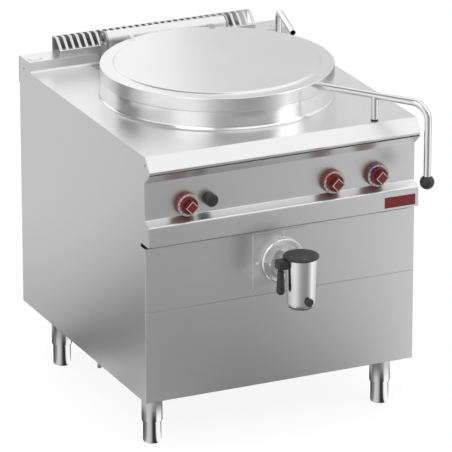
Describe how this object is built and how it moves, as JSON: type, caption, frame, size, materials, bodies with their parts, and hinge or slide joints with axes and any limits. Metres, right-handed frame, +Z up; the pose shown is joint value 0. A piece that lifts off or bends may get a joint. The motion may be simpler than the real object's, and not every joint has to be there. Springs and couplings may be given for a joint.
{
  "type": "boiling pan",
  "caption": "Free-standing gas boiling pan: steel cabinet on legs, round kettle with hinged balanced lid and side handle, drain tap, filling spout and flue grille.",
  "frame": {"origin": "on the floor, under the middle of the whole unit's box", "axes": "+X to the right seen from the front, +Y to the back, +Z up"},
  "size_m": [0.8, 1.0397, 0.963],
  "materials": {
    "steel_sheet": "fine brushed",
    "steel_frame": "plain",
    "worktop_steel": "satin",
    "lid_steel": "satin",
    "polished_steel": "polished",
    "pan_steel": "satin",
    "burner_steel": "matt",
    "spring_steel": "plain",
    "insulation": "wool",
    "brass_fitting": "plain",
    "pipe_metal": "plain",
    "dark_trim": "satin",
    "red_plate": "gloss",
    "red_plastic": "satin",
    "black_plastic": "satin",
    "rubber": "matt"
  },
  "bodies": {
    "cabinet": {"side_panel_left": "steel_sheet", "side_panel_right": "steel_sheet", "rear_panel": "steel_sheet", "base_frame": "steel_frame", "worktop": "worktop_steel", "upstand_plugs": "worktop_steel", "rear_spacer": "dark_trim", "collar": "polished_steel", "pan_wall": "pan_steel", "pan_floor": "pan_steel", "fire_chamber": "steel_frame", "chamber_posts": "steel_frame", "insulation": "insulation", "flue_duct": "steel_frame", "flue_grille": "worktop_steel", "burner": "burner_steel", "gas_valve": "brass_fitting", "gas_pipes": "pipe_metal", "water_valves": "brass_fitting", "water_pipes": "pipe_metal", "fascia": "steel_sheet", "badge_plate": "red_plate", "upper_front_panel": "steel_sheet", "lower_front_panel": "steel_sheet", "leg_sleeves": "polished_steel", "hinge_brackets": "worktop_steel", "lid_springs": "spring_steel", "lid_axle": "spring_steel", "tap_plate": "steel_sheet", "tap_plate_studs": "polished_steel", "tap_rosette": "polished_steel", "tap_nut": "polished_steel", "drain_pipe": "polished_steel", "tap_body": "polished_steel", "outlet_ring": "dark_trim", "spout_base": "polished_steel", "igniter_bush": "black_plastic"},
    "lid": {"lid_shell": "lid_steel", "lid_liner": "pan_steel", "hinge_cover": "worktop_steel", "lid_arms": "worktop_steel", "handle_tube": "polished_steel", "handle_collar": "polished_steel", "handle_ball": "black_plastic", "handle_strut": "polished_steel", "strut_foot": "rubber"},
    "tap_handle": {"tap_cap": "black_plastic", "tap_lever": "black_plastic", "tap_plug": "polished_steel"},
    "lock_screw_body": {"lock_screw": "black_plastic"},
    "spout": {"spout_tube": "polished_steel"},
    "gas_knob_body": {"gas_knob": "red_plastic"},
    "hot_knob_body": {"hot_knob": "red_plastic"},
    "cold_knob_body": {"cold_knob": "red_plastic"},
    "button": {"igniter_button": "black_plastic"},
    "foot_fl": {"foot_front_left": "polished_steel"},
    "foot_fr": {"foot_front_right": "polished_steel"},
    "foot_rl": {"foot_rear_left": "polished_steel"},
    "foot_rr": {"foot_rear_right": "polished_steel"}
  },
  "joints": [
    {"name": "lid_hinge", "type": "hinge", "parent": "cabinet", "child": "lid", "pos_m": [0, 0.4145, 0.924], "axis": [-1, 0, 0], "range_deg": [0, 90]},
    {"name": "tap_turn", "type": "hinge", "parent": "cabinet", "child": "tap_handle", "pos_m": [0, -0.4695, 0.501], "axis": [0, 0, 1], "range_deg": [0, 90]},
    {"name": "lock_turn", "type": "hinge", "parent": "cabinet", "child": "lock_screw_body", "pos_m": [0, -0.4695, 0.433], "axis": [0.0872, -0.9962, 0], "range_deg": [0, 180]},
    {"name": "spout_swivel", "type": "hinge", "parent": "cabinet", "child": "spout", "pos_m": [0.331, 0.3675, 0.85], "axis": [0, 0, 1], "range_deg": [0, 180]},
    {"name": "gas_turn", "type": "hinge", "parent": "cabinet", "child": "gas_knob_body", "pos_m": [-0.28, -0.3445, 0.7025], "axis": [0, -1, 0], "range_deg": [0, 180]},
    {"name": "hot_turn", "type": "hinge", "parent": "cabinet", "child": "hot_knob_body", "pos_m": [0.15, -0.3445, 0.7025], "axis": [0, -1, 0], "range_deg": [0, 90]},
    {"name": "cold_turn", "type": "hinge", "parent": "cabinet", "child": "cold_knob_body", "pos_m": [0.282, -0.3445, 0.7025], "axis": [0, -1, 0], "range_deg": [0, 90]},
    {"name": "igniter_press", "type": "slide", "parent": "cabinet", "child": "button", "axis": [0, 1, 0], "range_m": [0, 0.004], "stiffness_N_per_m": 800},
    {"name": "foot_fl_adjust", "type": "slide", "parent": "cabinet", "child": "foot_fl", "axis": [0, 0, 1], "range_m": [-0.03, 0]},
    {"name": "foot_fr_adjust", "type": "slide", "parent": "cabinet", "child": "foot_fr", "axis": [0, 0, 1], "range_m": [-0.03, 0]},
    {"name": "foot_rl_adjust", "type": "slide", "parent": "cabinet", "child": "foot_rl", "axis": [0, 0, 1], "range_m": [-0.03, 0]},
    {"name": "foot_rr_adjust", "type": "slide", "parent": "cabinet", "child": "foot_rr", "axis": [0, 0, 1], "range_m": [-0.03, 0]}
  ]
}
